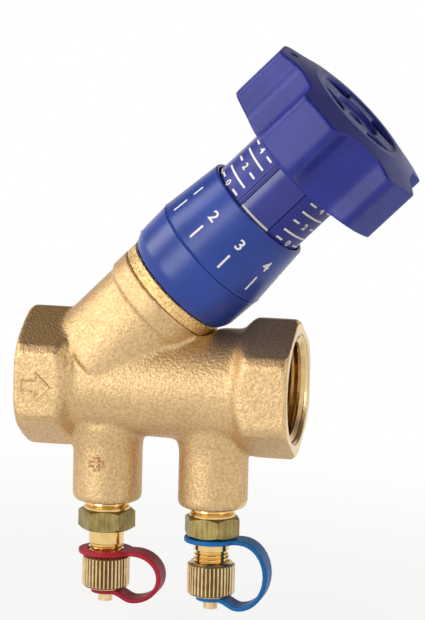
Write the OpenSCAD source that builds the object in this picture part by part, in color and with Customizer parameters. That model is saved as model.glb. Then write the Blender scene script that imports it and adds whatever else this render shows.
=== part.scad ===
// Y-pattern balancing valve, G 1 female by G 1 female, shown closed.
// X runs along the pipe with the flow, Z is up, and the origin is the middle of the inlet end face.
// The bonnet axis leans towards the outlet. Heights called _at are measured along it from the pipe axis.
// Azimuths round the bonnet start at the front, -Y, and grow towards the outlet.

/* [Valve body] */
// Length from end face to end face
body_len = 88; // [84:1:100]
// Width across the flats of the hexagon ends
hex_af = 40.2; // [39.5:0.1:44]
// Length of each hexagon end
hex_len = 15.5; // [14.5:0.5:18]
// Diameter that rounds the hexagon's corners
hex_round_d = 44.8; // [43.5:0.1:48]
// Chamfer on the outer end of each hexagon
hex_chamfer = 1.3; // [0.6:0.1:2]
// Barrel diameter at the inlet end
barrel_inlet_d = 34.6; // [33.5:0.1:37]
// Barrel diameter at the outlet end
barrel_outlet_d = 36.8; // [35:0.1:38.5]
// Distance from the inlet face to where the bonnet axis crosses the pipe axis
bonnet_offset = 16.7; // [16:0.1:18.5]
// Angle between the bonnet axis and the pipe axis
bonnet_angle = 45; // [43:0.5:48]
// Outer diameter of the neck that holds the bonnet
neck_d = 35.6; // [35:0.1:38]
// Where the neck starts
neck_foot_at = 8; // [7:0.5:9]
// Where the neck ends, at the face under the bonnet
neck_top_at = 40.6; // [40:0.1:43]
// Diameter of the machined band at the top of the neck
band_d = 37.5; // [36.5:0.1:39]
// Length of that band
band_len = 7.6; // [5:0.1:9]
// Diameter of the two test bosses
boss_d = 22.3; // [20:0.1:24]
// Distance between the two bosses
boss_pitch = 34.8; // [32:0.1:37]
// Distance from the inlet face to the middle between the bosses
boss_middle = 43.7; // [42:0.1:46]
// Depth of the bosses' faces below the pipe axis
boss_drop = 39.4; // [38:0.1:42]
// Rounding on the lower edge of the bosses
boss_round = 2.2; // [1:0.1:3]

/* [Waterway] */
// Diameter of the wall of the pipe threads, the G 1 major diameter
pipe_thread_d = 33.25; // [32.8:0.05:33.6]
// Depth of the pipe threads
pipe_thread_depth = 12; // [10:0.5:12]
// Diameter of the stop that the pipe's end comes to
pipe_stop_d = 29; // [28:0.1:30]
// Length of that stop
pipe_stop_len = 1.5; // [1:0.1:2]
// Diameter of the chamfered mouth of the pipe threads
pipe_mouth_d = 35.4; // [34:0.1:36.5]
// Diameter of the waterway beyond the threads
bore_d = 25.5; // [22:0.1:26.5]
// Diameter of the chamber round the disc
chamber_d = 25.6; // [24.4:0.1:26]
// Where the top of the wall that carries the seat lies
seat_at = 10; // [9.5:0.1:10.5]
// Thickness of the wall that carries the seat
seat_wall = 3; // [2:0.1:3.5]
// Diameter of the seat opening
seat_d = 18; // [16:0.1:19]
// Height of the raised seat lip
seat_lip = 0.6; // [0.3:0.05:0.8]
// Width of the raised seat lip
seat_lip_w = 1.2; // [0.8:0.1:1.4]
// Diameter of the threaded ports in the bosses
port_d = 13.2; // [12.5:0.05:14]
// Depth of the threaded ports
port_depth = 9; // [8:0.1:10]
// Diameter of the drilling from each port into the waterway
port_drill_d = 5; // [3:0.1:6]

/* [Bonnet] */
// Diameter of the thread that holds the bonnet in the neck
bonnet_thread_d = 30; // [29:0.1:31]
// Length of that thread
bonnet_thread_len = 12; // [9:0.1:12.5]
// Height of the visible bonnet ring
ring_len = 4.1; // [3:0.1:5]
// Diameter of the visible bonnet ring
ring_d = 37.5; // [36.5:0.1:39]
// Where the bonnet's skirt ends, above the open disc
skirt_at = 27; // [26.8:0.1:27.5]
// Diameter of the bonnet bore that guides the disc carrier
guide_d = 19.2; // [18:0.1:20]
// Where that bore ends, at the shoulder that takes the stem's thrust
thrust_at = 49.5; // [49.2:0.1:50.5]
// Diameter of the lower part of the bonnet's spigot
spigot_d = 26; // [24:0.1:27]
// Where the lower part of the spigot ends
spigot_step_at = 58; // [57:0.1:59]
// Diameter of the upper part of the spigot
spigot_top_d = 18; // [16:0.1:19.5]
// Where the spigot ends
spigot_top_at = 66; // [64:0.1:68]

/* [Stem] */
// Diameter of the stem's shaft
stem_d = 9.9; // [9:0.1:10.5]
// Diameter of the stem's thread in the disc carrier
stem_thread_d = 12; // [10:0.1:13]
// Where the stem starts
stem_foot_at = 27.6; // [27.4:0.1:29]
// Depth of the stem's end below the handwheel's top
stem_sink = 8.6; // [7.6:0.1:10]
// Side of the stem's square end
square_side = 6.8; // [6:0.1:7.2]
// Length of the stem's square end
square_len = 15; // [10:0.5:16]
// Thickness of the stem's thrust collar
collar_len = 3; // [2:0.1:4]

/* [Disc] */
// Lift of the disc over the whole travel
disc_lift = 10; // [8:0.1:10]
// Diameter of the disc carrier's flange
disc_flange_d = 22.4; // [21:0.1:23]
// Thickness of the disc carrier's flange
disc_flange_len = 3.5; // [2.5:0.1:3.5]
// Where the disc carrier ends when the valve is closed
carrier_top_at = 34.5; // [33.5:0.1:35.2]
// Outer diameter of the disc seal
disc_seal_d = 22; // [20.5:0.1:22.2]
// Thickness of the disc seal
disc_seal_len = 2.3; // [1.5:0.1:2.4]
// Diameter of the regulating plug where it closes the seat
plug_d = 17.2; // [15:0.1:17.6]
// Length of the regulating plug below the seal
plug_len = 7; // [5:0.1:8]

/* [Collar] */
// Where the two-part blue collar starts, just above the bonnet ring
collar_foot_at = 44.9; // [44.8:0.1:45.4]
// Where the lower collar meets the tenths ring
collar_seam_at = 59.5; // [59:0.1:61]
// Where the tenths ring ends
collar_top_at = 80.8; // [79:0.1:82]
// Diameter of the lower collar at its foot
collar_foot_d = 37.4; // [36:0.1:39]
// Diameter of the collar at its widest, at the seam
collar_seam_d = 42.1; // [41:0.1:44]
// Diameter of the tenths ring at its rim
collar_rim_d = 37.7; // [37.4:0.1:40]
// Wall of the lower collar's skirt
collar_wall = 2.2; // [1.6:0.1:2.6]
// Azimuth of the zero on the tenths ring
zero_azimuth = -93; // [-180:1:180]

/* [Scale sleeve] */
// Outer diameter of the scale sleeve
sleeve_d = 34.6; // [33.6:0.1:34.8]
// Wall of the scale sleeve
sleeve_wall = 1.9; // [1.4:0.1:2.1]
// Where the sleeve starts, inside the tenths ring
sleeve_foot_at = 64; // [63.5:0.1:66]
// Where the windows start
window_foot_at = 78; // [77:0.1:79]
// Half of the angle that one window takes
window_half_angle = 20; // [16:0.5:22]
// Number of windows
window_count = 4; // [2:1:6]
// Azimuth of the first window
window_azimuth = 7.7; // [-45:0.1:45]
// Rise of the indicator over the whole travel
indicator_rise = 15.7; // [12:0.1:16]

/* [Handwheel] */
// Where the handwheel starts
wheel_foot_at = 98.3; // [98:0.1:99]
// Distance from the axis to the flat face of a lobe
lobe_reach = 31.3; // [29:0.1:34]
// Half of the width of a lobe's face
lobe_half_w = 7.9; // [6:0.1:9]
// Angle by which each side of a lobe flares
lobe_flare = 14; // [8:1:26]
// Distance from the axis to a lobe's root
lobe_root = 23.6; // [22.5:0.1:25]
// Number of lobes
lobe_count = 5; // [4:1:6]
// Azimuth of the first lobe
lobe_azimuth = -12; // [-60:1:60]
// Rise of the lobes' undersides from the wheel's foot to their outer edge
lobe_foot_rise = 4.2; // [2:0.1:6]
// Height of the lobes at their outer edge
lobe_height = 18.5; // [16:0.1:21]
// Rise from the lobes' outer edge to the ring on top
wheel_crown = 3.6; // [2.4:0.1:5]
// Wall of the handwheel
wheel_wall = 2.4; // [1.8:0.1:3]
// Outer diameter of the raised top ring
top_ring_d = 38.4; // [36:0.1:41]
// Diameter of the recess inside the top ring
top_recess_d = 32; // [30:0.1:34]
// Diameter of the recess round the key hole
hub_recess_d = 16.4; // [14:0.1:17]
// Diameter of the key hole
key_hole_d = 5.4; // [4:0.1:6]
// Half of the width of the bar across the top recess
top_bar_half_w = 5.2; // [4:0.1:7]
// Half of the length of the solid web between the openings
top_web_half_w = 5.2; // [4:0.1:7]

/* [Test points] */
// Diameter of the test points' shoulder
shoulder_d = 14.9; // [14:0.1:16]
// Height of the shoulder
shoulder_len = 2.8; // [2:0.1:3.5]
// Width across the flats of the test points
point_af = 16; // [15:0.1:18]
// Height of the hexagon
point_hex_len = 6.8; // [5:0.1:8]
// Diameter of the threaded nose
nose_d = 11.4; // [10:0.1:12]
// Length of the nose below the hexagon
nose_len = 16.8; // [15:0.1:18]
// Diameter of the membrane inside the nose
membrane_d = 6.4; // [5:0.1:7]
// Length of the membrane
membrane_len = 8; // [6:0.1:10]
// Angle to which the upstream hexagon was tightened, from square to the pipe
upstream_hex_angle = 8.6; // [-30:0.1:30]
// Angle to which the downstream hexagon was tightened
downstream_hex_angle = -6.7; // [-30:0.1:30]

/* [Caps] */
// Diameter over the ribs of a cap
cap_d = 15.3; // [14.5:0.1:17]
// Height of a cap
cap_len = 10.9; // [10:0.1:12]
// Depth of the cap's upper edge below the hexagon
cap_drop = 8.3; // [7.8:0.1:9]
// Number of ribs round a cap
cap_ribs = 36; // [24:1:48]
// Depth of the ribs
cap_rib_depth = 0.45; // [0.2:0.05:0.6]
// Diameter of the stub that holds the strap's eye
stub_d = 4.6; // [4:0.1:6]
// Length of the stub
stub_len = 4.5; // [3.5:0.1:6]

/* [Straps] */
// Thickness of a strap
strap_t = 1.5; // [1:0.1:1.6]
// Width of a strap's band
strap_w = 8.5; // [6:0.1:10]
// Outer diameter of a strap's ring round the nose
strap_ring_d = 17.8; // [16:0.1:20]
// Outer diameter of a strap's eye round the stub
strap_eye_d = 9.4; // [8:0.1:11]
// Reach of a strap's bend beyond the test point's axis
strap_reach = 18.4; // [16:0.1:21]
// Where the bend starts, beyond the test point's axis
strap_bend_start = 9.6; // [9:0.1:10.5]

/* [Hidden] */
$fn = 96;

// Clearance of a thread or of a fit inside one assembly
fit = 0.05;
// Radial clearance of a running fit
run = 0.08;
// Clearance between soft or loose pieces
ease = 0.3;
// How far a cut runs past the face that it opens
over = 1;
// Steps of a rounded corner
round_steps = 4;
half_turn = 180;
full_turn = 360;

brass_cast = [0.80, 0.62, 0.36];
brass_turned = [0.86, 0.68, 0.30];
brass_plain = [0.66, 0.58, 0.30];
blue_deep = [0.10, 0.16, 0.50];
blue_collar = [0.14, 0.25, 0.62];
red_strap = [0.72, 0.08, 0.16];
cyan_strap = [0.05, 0.42, 0.72];
rubber_black = [0.06, 0.06, 0.06];
ptfe_white = [0.92, 0.92, 0.90];
steel_bright = [0.75, 0.76, 0.78];

hex_round_r = hex_round_d / 2;
neck_r = neck_d / 2;
band_r = band_d / 2;
boss_r = boss_d / 2;
bore_r = bore_d / 2;
thread_r = pipe_thread_d / 2;
mouth_r = pipe_mouth_d / 2;
chamber_r = chamber_d / 2;
seat_r = seat_d / 2;
port_r = port_d / 2;
// A length that passes every wall of the valve
reach_all = 2 * body_len;

lobe_foot_at = wheel_foot_at + lobe_foot_rise;
lobe_top_at = lobe_foot_at + lobe_height;
wheel_top_at = lobe_top_at + wheel_crown;
stem_top_at = wheel_top_at - stem_sink;

upstream_x = boss_middle - boss_pitch / 2;
downstream_x = boss_middle + boss_pitch / 2;

// Puts its children on the bonnet axis, with their z along it
module on_bonnet() {
    translate([bonnet_offset, 0, 0])
        rotate([0, 90 - bonnet_angle, 0])
            children();
}

// Turns a piece so that its x points to an azimuth round the bonnet
module at_azimuth(azimuth) {
    rotate([0, 0, azimuth - 90])
        children();
}

// Solid between two places on an axis
module rod(from, to, r) {
    translate([0, 0, from])
        cylinder(h = to - from, r = r);
}

// Ring between two places on an axis
module tube(from, to, r_out, r_in) {
    difference() {
        rod(from, to, r_out);
        rod(from - over, to + over, r_in);
    }
}

// Cone between two places on an axis
module cone(from, to, r_from, r_to) {
    translate([0, 0, from])
        cylinder(h = to - from, r1 = r_from, r2 = r_to);
}

// Ring of round section
module o_ring(at, r_middle, r_cord) {
    translate([0, 0, at])
        rotate_extrude()
            translate([r_middle, 0])
                circle(r = r_cord, $fn = 32);
}

module revolve(points) {
    rotate_extrude()
        polygon(points);
}

// Corner of an outline, rounded over a length along both sides
function corner(before, at, after, cut) =
    let (
        in = at + (before - at) * cut / norm(before - at),
        out = at + (after - at) * cut / norm(after - at)
    )
    [for (i = [0:round_steps])
        let (t = i / round_steps)
        in * (1 - t) * (1 - t) + at * 2 * t * (1 - t) + out * t * t];

// Outline with every corner rounded by its own length
function rounded(points, cuts) =
    let (n = len(points))
    [for (i = [0:n - 1])
        each (cuts[i] == 0
            ? [points[i]]
            : corner(points[(i + n - 1) % n], points[i], points[(i + 1) % n], cuts[i]))];

// Valve body

// Height of the cone that leads from a hexagon to the barrel
hex_lead = 2.6;
// How far a boss widens where it runs into the barrel
boss_flare = 1.6;
boss_flare_r = boss_r + boss_flare;
boss_flare_len = 7;
bonnet_seal_cord_r = 0.8;
bonnet_seal_r = bonnet_thread_d / 2 + fit + bonnet_seal_cord_r;
neck_edge = 0.35;

module along_pipe() {
    rotate([0, 90, 0])
        children();
}

// One hexagon end, from its outer face inwards
module hex_end(barrel_r) {
    intersection() {
        cylinder(h = hex_len + hex_lead, d = hex_af / cos(half_turn / 6), $fn = 6);
        revolve(rounded(
            [[0, 0], [hex_round_r - hex_chamfer, 0], [hex_round_r, hex_chamfer],
             [hex_round_r, hex_len - hex_chamfer], [barrel_r, hex_len + hex_lead],
             [0, hex_len + hex_lead]],
            [0, hex_chamfer / 3, hex_chamfer / 2, hex_chamfer, hex_chamfer, 0]));
    }
}

module test_boss(x) {
    translate([x, 0, -boss_drop]) {
        revolve(rounded(
            [[0, 0], [boss_r, 0], [boss_r, boss_drop - barrel_inlet_d / 2 - boss_flare_len / 2],
             [boss_flare_r, boss_drop - barrel_inlet_d / 2 + boss_flare_len / 2],
             [0, boss_drop - barrel_inlet_d / 2 + boss_flare_len / 2]],
            [0, boss_round, boss_round, 0, 0]));
    }
}

module port(x) {
    translate([x, 0, 0]) {
        rod(-boss_drop - over, -boss_drop + port_depth, port_r);
        rod(-boss_drop, -bore_r / 2, port_drill_d / 2);
    }
}

module pipe_end() {
    rod(-over, pipe_thread_depth, thread_r);
    rod(0, pipe_thread_depth + pipe_stop_len, pipe_stop_d / 2);
    cone(-(mouth_r - thread_r), mouth_r - thread_r, 2 * mouth_r - thread_r, thread_r);
}

module valve_body() {
    color(brass_cast)
    difference() {
        union() {
            along_pipe()
                hex_end(barrel_inlet_d / 2);
            translate([body_len, 0, 0])
                mirror([1, 0, 0])
                    along_pipe()
                        hex_end(barrel_outlet_d / 2);
            along_pipe()
                cone(hex_len, body_len - hex_len, barrel_inlet_d / 2, barrel_outlet_d / 2);
            on_bonnet()
                revolve(rounded(
                    [[0, neck_foot_at], [neck_r, neck_foot_at], [neck_r, neck_top_at - band_len],
                     [band_r, neck_top_at - band_len + (band_r - neck_r)],
                     [band_r, neck_top_at - neck_edge], [band_r - neck_edge, neck_top_at],
                     [0, neck_top_at]],
                    [0, 2 * neck_edge, neck_edge, neck_edge, 0, 0, 0]));
            test_boss(upstream_x);
            test_boss(downstream_x);
        }
        along_pipe()
            pipe_end();
        translate([body_len, 0, 0])
            mirror([1, 0, 0])
                along_pipe()
                    pipe_end();
        // Waterway below the seat wall
        intersection() {
            along_pipe()
                rod(pipe_thread_depth / 2, reach_all, bore_r);
            on_bonnet()
                rod(-reach_all, seat_at - seat_wall, reach_all);
        }
        // Waterway above the seat wall
        intersection() {
            along_pipe()
                rod(0, body_len - pipe_thread_depth / 2, bore_r);
            on_bonnet()
                rod(seat_at, reach_all, reach_all);
        }
        on_bonnet() {
            difference() {
                rod(seat_at, neck_top_at - bonnet_thread_len, chamber_r);
                tube(seat_at - over, seat_at + seat_lip, seat_r + seat_lip_w, seat_r);
            }
            rod(seat_at - seat_wall - over, seat_at + over, seat_r);
            rod(neck_top_at - bonnet_thread_len - over, neck_top_at + over, bonnet_thread_d / 2);
            rod(neck_top_at - 2 * bonnet_seal_cord_r - fit, neck_top_at + over,
                bonnet_seal_r + bonnet_seal_cord_r);
            // Spot face that lets the bonnet's ring turn past the barrel
            rod(neck_top_at, neck_top_at + ring_len + ease, ring_d / 2 + ease);
        }
        port(upstream_x);
        port(downstream_x);
    }
}

// Bonnet and what is fixed to it

key_w = 3;
key_proud = 1.3;
stem_bore_r = stem_d / 2 + run;

module bonnet() {
    thread_foot = neck_top_at - bonnet_thread_len;
    ring_r = ring_d / 2;
    color(brass_turned)
    on_bonnet()
    difference() {
        revolve([
            [0, skirt_at], [chamber_r - fit, skirt_at], [chamber_r - fit, thread_foot],
            [bonnet_thread_d / 2 - fit, thread_foot], [bonnet_thread_d / 2 - fit, neck_top_at],
            [ring_r - neck_edge, neck_top_at], [ring_r, neck_top_at + neck_edge],
            [ring_r, neck_top_at + ring_len - neck_edge], [ring_r - neck_edge, neck_top_at + ring_len],
            [spigot_d / 2, neck_top_at + ring_len], [spigot_d / 2, spigot_step_at],
            [spigot_top_d / 2, spigot_step_at], [spigot_top_d / 2, spigot_top_at - neck_edge],
            [spigot_top_d / 2 - neck_edge, spigot_top_at], [0, spigot_top_at]]);
        rod(skirt_at - over, thrust_at, guide_d / 2);
        rod(thrust_at - over, spigot_top_at + over, stem_bore_r);
        // Keyways for the disc carrier
        translate([-(key_w / 2 + run), -(guide_d / 2 + key_proud), skirt_at - over])
            cube([key_w + 2 * run, guide_d + 2 * key_proud, carrier_top_at + disc_lift + over - skirt_at + over]);
    }
}

module bonnet_o_ring() {
    color(rubber_black)
    on_bonnet()
        o_ring(neck_top_at - bonnet_seal_cord_r - fit / 2, bonnet_seal_r, bonnet_seal_cord_r - fit / 2);
}

thrust_washer_len = 0.8;

module thrust_washer() {
    color(ptfe_white)
    on_bonnet()
        tube(thrust_at - thrust_washer_len, thrust_at, guide_d / 2 - fit, stem_bore_r);
}

guide_tube_r = 12.5;
guide_tube_drop = 2.3;
guide_tube_top_at = wheel_foot_at - guide_tube_drop;
collar_rib_len = 3;
// Height of the curve between the collar's foot and its skirt
collar_shoulder = 3.3;
collar_seam = 0.2;
collar_rib_r = sleeve_d / 2 + ease - run;

// Lower collar: skirt, web and the tube that carries the indicator's thread
module lower_collar() {
    foot_r = collar_foot_d / 2;
    seam_r = collar_seam_d / 2;
    shoulder = collar_shoulder;
    web_at = spigot_step_at - collar_wall;
    color(blue_collar)
    on_bonnet()
    difference() {
        revolve(rounded(
            [[0, collar_foot_at], [foot_r, collar_foot_at],
             [foot_r + shoulder / 2, collar_foot_at + shoulder],
             [seam_r - collar_seam, collar_seam_at], [collar_rib_r, collar_seam_at],
             [collar_rib_r, collar_seam_at + collar_rib_len],
             [guide_tube_r, collar_seam_at + collar_rib_len],
             [guide_tube_r, guide_tube_top_at], [0, guide_tube_top_at]],
            [0, shoulder / 3, shoulder / 2, 0, 0, 0, 0, 0, 0]));
        // Hollow under the skirt, round the socket that grips the spigot
        difference() {
            cone(collar_foot_at - over, web_at, foot_r - collar_wall, seam_r - collar_wall - shoulder / 2);
            rod(collar_foot_at - over, web_at + over, spigot_d / 2 + collar_wall);
        }
        rod(collar_foot_at - over, spigot_step_at, spigot_d / 2 + fit);
        rod(spigot_step_at - over, guide_tube_top_at + over, guide_tube_r - collar_wall);
    }
    color(blue_collar)
    on_bonnet()
        index_rib();
}

index_rib_w = 3;
index_rib_len = 5;

// Locating rib on the collar's skirt, in line with the zero
module index_rib() {
    rib_at = collar_foot_at + collar_wall;
    at_azimuth(zero_azimuth)
        translate([collar_seam_d / 2 - 2 * collar_wall, -index_rib_w / 2, rib_at])
            cube([2 * collar_wall - index_rib_w / 4, index_rib_w, index_rib_len]);
}

module tenths_ring() {
    seam_r = collar_seam_d / 2;
    rim_r = collar_rim_d / 2;
    inner_r = sleeve_d / 2 + ease;
    lip = (rim_r - inner_r) / 2;
    foot_at = collar_seam_at + collar_seam;
    color(blue_collar)
    on_bonnet()
        revolve(rounded(
            [[inner_r, foot_at], [seam_r - collar_seam, foot_at], [seam_r, foot_at + collar_seam],
             [seam_r - collar_seam, foot_at + 4 * collar_seam],
             [rim_r, collar_top_at], [inner_r, collar_top_at]],
            [0, 0, 0, 0, lip, lip]));
}

// Stem and what turns with it

stem_ring_cord_r = 0.7;
stem_ring_r = stem_d / 2 - stem_ring_cord_r + run / 2;
stem_ring_places = [thrust_at + 4 * stem_ring_cord_r, spigot_top_at - 4 * stem_ring_cord_r];
clip_len = 1;
clip_gap = 0.1;
clip_inset = 1.5;
clip_r = spigot_top_d / 2 - clip_inset;
clip_depth = 1;
snap_len = 1.1;
snap_depth = 0.9;
snap_at = stem_top_at - square_len / 2;
stop_bore_r = 2.1;
collar_at = thrust_at - thrust_washer_len - fit - collar_len;

module stem() {
    square_at = stem_top_at - square_len;
    color(brass_turned)
    on_bonnet()
    difference() {
        union() {
            cone(stem_foot_at, stem_foot_at + clip_depth, stem_thread_d / 2 - clip_depth, stem_thread_d / 2);
            rod(stem_foot_at + clip_depth, collar_at, stem_thread_d / 2);
            rod(collar_at, collar_at + collar_len, guide_d / 2 - ease);
            rod(collar_at, square_at, stem_d / 2);
            intersection() {
                translate([-square_side / 2, -square_side / 2, square_at - over])
                    cube([square_side, square_side, square_len + over]);
                rod(square_at - over, stem_top_at, stem_d / 2 - fit);
            }
        }
        for (at = stem_ring_places)
            tube(at - stem_ring_cord_r - fit, at + stem_ring_cord_r + fit,
                stem_d, stem_ring_r - stem_ring_cord_r - fit);
        tube(spigot_top_at + clip_gap, spigot_top_at + clip_gap + clip_len, stem_d, stem_d / 2 - clip_depth);
        tube(snap_at, snap_at + snap_len, stem_d, square_side / 2 - snap_depth + fit);
        rod(stem_foot_at - over, stem_top_at + over, stop_bore_r);
    }
}

module stem_o_rings() {
    color(rubber_black)
    on_bonnet()
        for (at = stem_ring_places)
            o_ring(at, stem_ring_r, stem_ring_cord_r);
}

// Open clip that keeps the stem in the bonnet
module stem_clip() {
    from = spigot_top_at + clip_gap + fit;
    to = spigot_top_at + clip_gap + clip_len - fit;
    mouth = stem_d / 2 - clip_depth + fit;
    color(steel_bright)
    on_bonnet()
    difference() {
        tube(from, to, clip_r, mouth);
        translate([0, -mouth, from - over])
            cube([clip_r + over, 2 * mouth, to - from + 2 * over]);
    }
}

module wheel_snap_ring() {
    from = snap_at + fit;
    to = snap_at + snap_len - fit;
    outer = square_side / 2 + snap_depth;
    inner = square_side / 2 - snap_depth + 2 * fit;
    color(steel_bright)
    on_bonnet()
    difference() {
        tube(from, to, outer, inner);
        translate([0, -snap_depth / 2, from - over])
            cube([outer + over, snap_depth, to - from + 2 * over]);
    }
}

sleeve_r = sleeve_d / 2;
sleeve_inner_r = sleeve_r - sleeve_wall;
sleeve_grip = 6;

// Sector of a ring, centred on an azimuth
module sector(from, to, r_out, r_in, half_angle) {
    intersection() {
        tube(from, to, r_out, r_in);
        linear_extrude(height = to + over)
            polygon([[0, 0], for (s = [-1, 1]) 2 * r_out * [cos(half_angle), s * sin(half_angle)]]);
    }
}

module scale_sleeve() {
    color(blue_deep)
    on_bonnet()
    difference() {
        tube(sleeve_foot_at, wheel_foot_at + sleeve_grip, sleeve_r, sleeve_inner_r);
        for (i = [0:window_count - 1])
            at_azimuth(window_azimuth + i * full_turn / window_count)
                sector(window_foot_at, wheel_foot_at + sleeve_grip + over, sleeve_r + over,
                    sleeve_inner_r - over, window_half_angle);
    }
}

wheel_hub_r = 8;
wheel_hub_at = stem_top_at - square_len + ease / 2;
top_plate_len = 3.4;
top_recess_depth = 0.6;
hub_recess_depth = 1.9;
// Width of the rim left between the hub's recess and the openings
hub_rim = 0.9;
top_ring_proud = 0.1;
lobe_round = 2.6;
root_round = 2.2;
// Length over which the wheel's upper and lower edges are rounded
wheel_edge = 3;
// Share of the floor between two lobes that each of its corners may take
floor_round_share = 0.42;
seal_hole_r = 1.2;
seal_hole_inset = 4.1;
seal_hole_depth = 6;

// Outline of the lobed wheel, drawn in by a wall
function wheel_outline(wall) =
    let (
        face = lobe_reach - wall,
        root = lobe_root - wall,
        half = lobe_half_w - wall * (1 - sin(lobe_flare)) / cos(lobe_flare),
        root_half = half + (face - root) * tan(lobe_flare),
        step = full_turn / lobe_count,
        turn = function (p, a) [p[0] * cos(a) - p[1] * sin(a), p[0] * sin(a) + p[1] * cos(a)],
        points = [for (i = [0:lobe_count - 1])
            each [for (p = [[root, -root_half], [face, -half], [face, half], [root, root_half]])
                turn(p, i * step)]],
        floor_w = norm(points[4] - points[3]),
        root_cut = min(root_round, floor_w * floor_round_share),
        face_cut = wall == 0 ? lobe_round : lobe_round - wall / 2,
        cuts = [for (i = [0:lobe_count - 1])
            each [root_cut, face_cut, face_cut, root_cut]]
    )
    rounded(points, cuts);

// Profile of the wheel, with the undersides and tops of its lobes
module wheel_profile(wall) {
    edge = wheel_edge;
    tip = lobe_reach + lobe_round;
    ring_r = top_ring_d / 2;
    revolve(rounded(
        [[0, wheel_foot_at], [sleeve_r + wheel_wall, wheel_foot_at],
         [tip, lobe_foot_at], [tip, lobe_top_at - wall],
         [ring_r, wheel_top_at - top_ring_proud - wall], [0, wheel_top_at - top_ring_proud - wall]],
        [0, 0, edge, edge, edge / 3, 0]));
}

// One quarter opening beside the bar in the top recess
module top_opening() {
    intersection() {
        tube(wheel_foot_at, wheel_top_at + over, top_recess_d / 2 - ease, hub_recess_d / 2 + hub_rim);
        translate([top_web_half_w, top_bar_half_w, wheel_foot_at])
            cube([top_recess_d, top_recess_d, reach_all]);
    }
}

module handwheel() {
    color(blue_deep)
    on_bonnet()
    difference() {
        union() {
            difference() {
                at_azimuth(lobe_azimuth)
                    intersection() {
                        translate([0, 0, wheel_foot_at - over])
                            linear_extrude(height = wheel_top_at - wheel_foot_at + 2 * over)
                                polygon(wheel_outline(0));
                        wheel_profile(0);
                    }
                // Hollow of the lobes, open below
                at_azimuth(lobe_azimuth)
                    difference() {
                        translate([0, 0, wheel_foot_at - over])
                            linear_extrude(height = lobe_top_at - wheel_wall - wheel_foot_at + over)
                                polygon(wheel_outline(wheel_wall));
                        rod(wheel_foot_at - 2 * over, lobe_top_at, sleeve_r + fit + wheel_wall);
                    }
                // Room for the sleeve and for the rising indicator
                rod(wheel_foot_at - over, wheel_top_at - top_plate_len, sleeve_r + fit);
            }
            rod(wheel_hub_at, wheel_top_at - top_plate_len + over, wheel_hub_r);
            tube(wheel_top_at - top_plate_len, wheel_top_at, top_ring_d / 2, top_recess_d / 2);
        }
        rod(wheel_top_at - top_recess_depth, wheel_top_at + over, top_recess_d / 2);
        rod(wheel_top_at - hub_recess_depth, wheel_top_at + over, hub_recess_d / 2);
        rod(wheel_hub_at - over, wheel_top_at + over, key_hole_d / 2);
        at_azimuth(window_azimuth)
            for (a = [0, 1])
                for (b = [0, 1])
                    mirror([a, 0, 0])
                        mirror([0, b, 0])
                            top_opening();
        translate([-square_side / 2 - fit, -square_side / 2 - fit, wheel_hub_at - over])
            cube([square_side + 2 * fit, square_side + 2 * fit, stem_top_at + fit - wheel_hub_at + over]);
        tube(snap_at - fit, snap_at + snap_len + fit, square_side / 2 + snap_depth + fit, 0);
        // Hole for the seal wire
        at_azimuth(lobe_azimuth - full_turn / lobe_count)
            translate([lobe_reach - seal_hole_inset, 0, 0])
                rod(lobe_top_at - seal_hole_depth, wheel_top_at + over, seal_hole_r);
    }
}

stop_foot_at = stem_foot_at + ease;
stop_top_at = stem_top_at - square_len / 3;
stop_socket_af = 2.5;

// Long screw inside the stem that limits the opening
module memory_stop() {
    color(steel_bright)
    on_bonnet()
    difference() {
        rod(stop_foot_at, stop_top_at, stop_bore_r - run);
        translate([0, 0, stop_top_at - stop_socket_af])
            cylinder(h = stop_socket_af + over, d = stop_socket_af / cos(half_turn / 6), $fn = 6);
    }
}

pad_sink = 1;
pad_foot_at = collar_top_at - pad_sink;
indicator_hub_len = 10;
// Length over which a pad grows out of the hub
pad_grip = 2;
indicator_hub_at = pad_foot_at + pad_grip - indicator_hub_len;
pad_inner_r = guide_tube_r + ease * 2;
pad_clear_angle = 0.9;

// Threaded hub with one pad for each window
module indicator_ring() {
    pad_top_at = wheel_foot_at - ease;
    color(blue_deep)
    on_bonnet() {
        tube(indicator_hub_at, indicator_hub_at + indicator_hub_len, sleeve_inner_r - ease, guide_tube_r + run);
        for (i = [0:window_count - 1])
            at_azimuth(window_azimuth + i * full_turn / window_count)
                sector(pad_foot_at, pad_top_at, sleeve_r - ease, pad_inner_r,
                    window_half_angle - pad_clear_angle);
    }
}

// Disc

seat_gap = 0.1;
disc_face_at = seat_at + seat_lip + seat_gap;
flange_at = disc_face_at + disc_seal_len;
stud_r = 3;
stud_len = 5;
carrier_floor_at = stem_foot_at - disc_lift - ease;

module disc_carrier() {
    body_r = guide_d / 2 - run;
    color(brass_turned)
    on_bonnet()
    difference() {
        union() {
            rod(flange_at, flange_at + disc_flange_len, disc_flange_d / 2);
            rod(flange_at, carrier_top_at, body_r);
            translate([-key_w / 2, -(guide_d / 2 + key_proud - run), skirt_at + ease])
                cube([key_w, guide_d + 2 * (key_proud - run), carrier_top_at - skirt_at - ease]);
        }
        rod(carrier_floor_at, carrier_top_at + over, stem_thread_d / 2 + fit);
        rod(flange_at - over, flange_at + stud_len - disc_seal_len, stud_r + fit);
    }
}

module disc_seal() {
    color(rubber_black)
    on_bonnet()
        tube(disc_face_at, flange_at, disc_seal_d / 2, stud_r + fit);
}

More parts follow.
